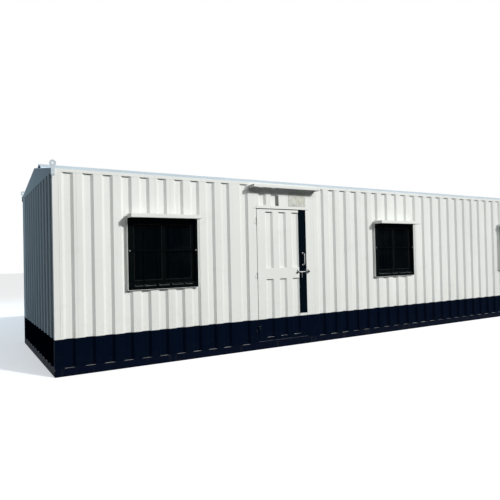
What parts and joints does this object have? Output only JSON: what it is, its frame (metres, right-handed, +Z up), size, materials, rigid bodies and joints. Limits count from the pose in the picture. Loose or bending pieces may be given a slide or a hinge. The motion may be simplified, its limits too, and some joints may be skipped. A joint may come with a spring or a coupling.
{
  "type": "office container",
  "caption": "Long steel site cabin with trapezoidal pressed walls, low gable roof, hooded windows, and a hinged outward-opening door with a sliding bolt.",
  "frame": {"origin": "middle of the footprint, on the underside of the base at ground level", "axes": "+X along the length towards the right end, -Y towards the front with the door, +Z up"},
  "size_m": [12.25, 3.262, 2.88],
  "materials": {
    "white_paint": "off-white gloss paint over a navy lower band, weathered",
    "navy_paint": "dark navy paint, dusty",
    "roof_paint": "pale blue-grey paint, dusty",
    "floor_board": "sealed floor board",
    "lining_board": "satin laminated board",
    "window_black": "black coated",
    "dark_glass": "dark tinted",
    "bare_steel": "bright zinc-plated",
    "vent_plate": "dull grey-green paint, stained"
  },
  "bodies": {
    "cabin": {"corner_posts": "white_paint", "top_rail_front": "white_paint", "top_rail_back": "white_paint", "top_rail_left": "white_paint", "top_rail_right": "white_paint", "lifting_lugs": "white_paint", "front_wall_header": "white_paint", "window_surrounds": "white_paint", "window_hoods": "white_paint", "door_head": "white_paint", "door_hood": "white_paint", "gable_left": "white_paint", "gable_right": "white_paint", "front_wall_left": "white_paint", "front_wall_right": "white_paint", "back_wall": "white_paint", "left_end_wall": "white_paint", "right_end_wall": "white_paint", "door_jambs": "white_paint", "base_rail_front": "navy_paint", "base_rail_back": "navy_paint", "base_rail_left": "navy_paint", "base_rail_right": "navy_paint", "floor_joists": "navy_paint", "door_sill": "navy_paint", "roof_front": "roof_paint", "roof_back": "roof_paint", "ridge_cap": "roof_paint", "floor_deck": "floor_board", "front_lining_left": "lining_board", "front_lining_right": "lining_board", "front_lining_header": "lining_board", "back_lining": "lining_board", "left_end_lining": "lining_board", "right_end_lining": "lining_board", "ceiling": "lining_board", "window_frames": "window_black", "window_sashes": "window_black", "window_glass": "dark_glass", "door_hinges": "bare_steel", "bolt_keeper": "bare_steel", "vent_panel": "vent_plate"},
    "door": {"door_leaf": "white_paint", "door_handle": "bare_steel", "bolt_guides": "bare_steel"},
    "bolt": {"door_bolt": "bare_steel"}
  },
  "joints": [
    {"name": "door_swing", "type": "hinge", "parent": "cabin", "child": "door", "pos_m": [-3.1605, -1.537, 1.14], "axis": [0, 0, -1], "range_deg": [0, 110]},
    {"name": "bolt_slide", "type": "slide", "parent": "door", "child": "bolt", "axis": [1, 0, 0], "range_m": [0, 0.045]}
  ]
}
